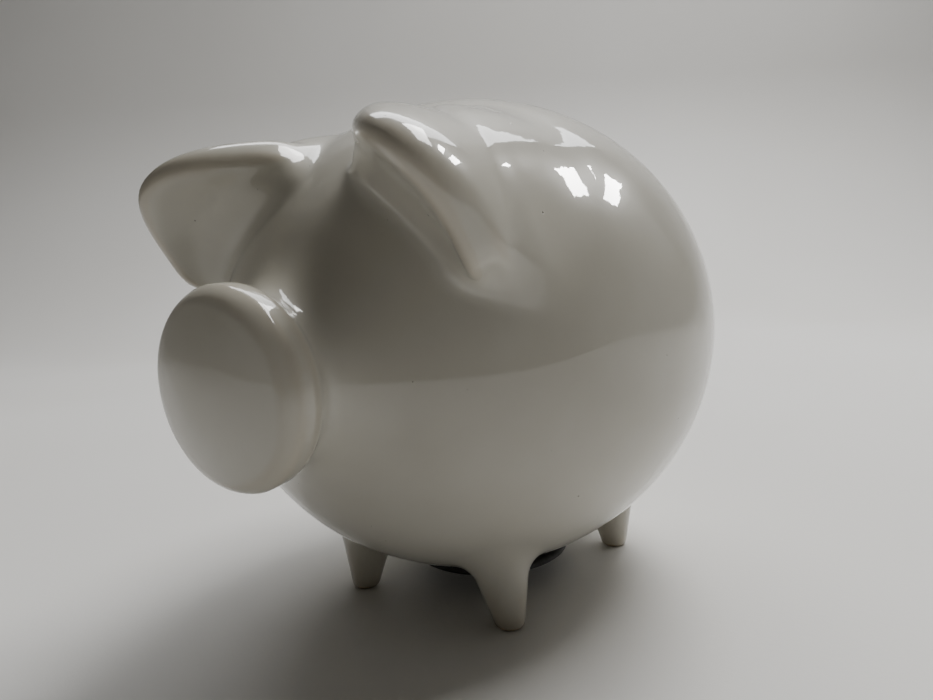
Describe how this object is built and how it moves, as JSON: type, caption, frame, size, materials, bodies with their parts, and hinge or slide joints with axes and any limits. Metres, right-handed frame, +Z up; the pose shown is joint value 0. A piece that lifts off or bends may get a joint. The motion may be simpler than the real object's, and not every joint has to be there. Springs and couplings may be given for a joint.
{
  "type": "piggy bank",
  "caption": "Round glazed ceramic piggy bank with disc snout, pointed forward ears, tapered feet, curled tail, coin slot on the back and a rubber stopper in the belly.",
  "frame": {"origin": "on the surface the pig stands on, under the middle of its bounding box", "axes": "+Z up, the pig looks along -Y, +X is the pig's left side"},
  "size_m": [0.12, 0.1697, 0.1258],
  "materials": {
    "white_glaze": "clear gloss glaze over white earthenware, bare clay on the soles of the feet",
    "black_rubber": "soft moulded, matt"
  },
  "bodies": {
    "pig": {"body_shell": "white_glaze", "snout": "white_glaze", "ear_left": "white_glaze", "ear_right": "white_glaze", "leg_front_left": "white_glaze", "leg_front_right": "white_glaze", "leg_rear_left": "white_glaze", "leg_rear_right": "white_glaze", "tail": "white_glaze"},
    "stopper": {"belly_stopper": "black_rubber"}
  },
  "joints": [
    {"name": "stopper_pull", "type": "slide", "parent": "pig", "child": "stopper", "axis": [0, 0, -1], "range_m": [0, 0.045]}
  ]
}
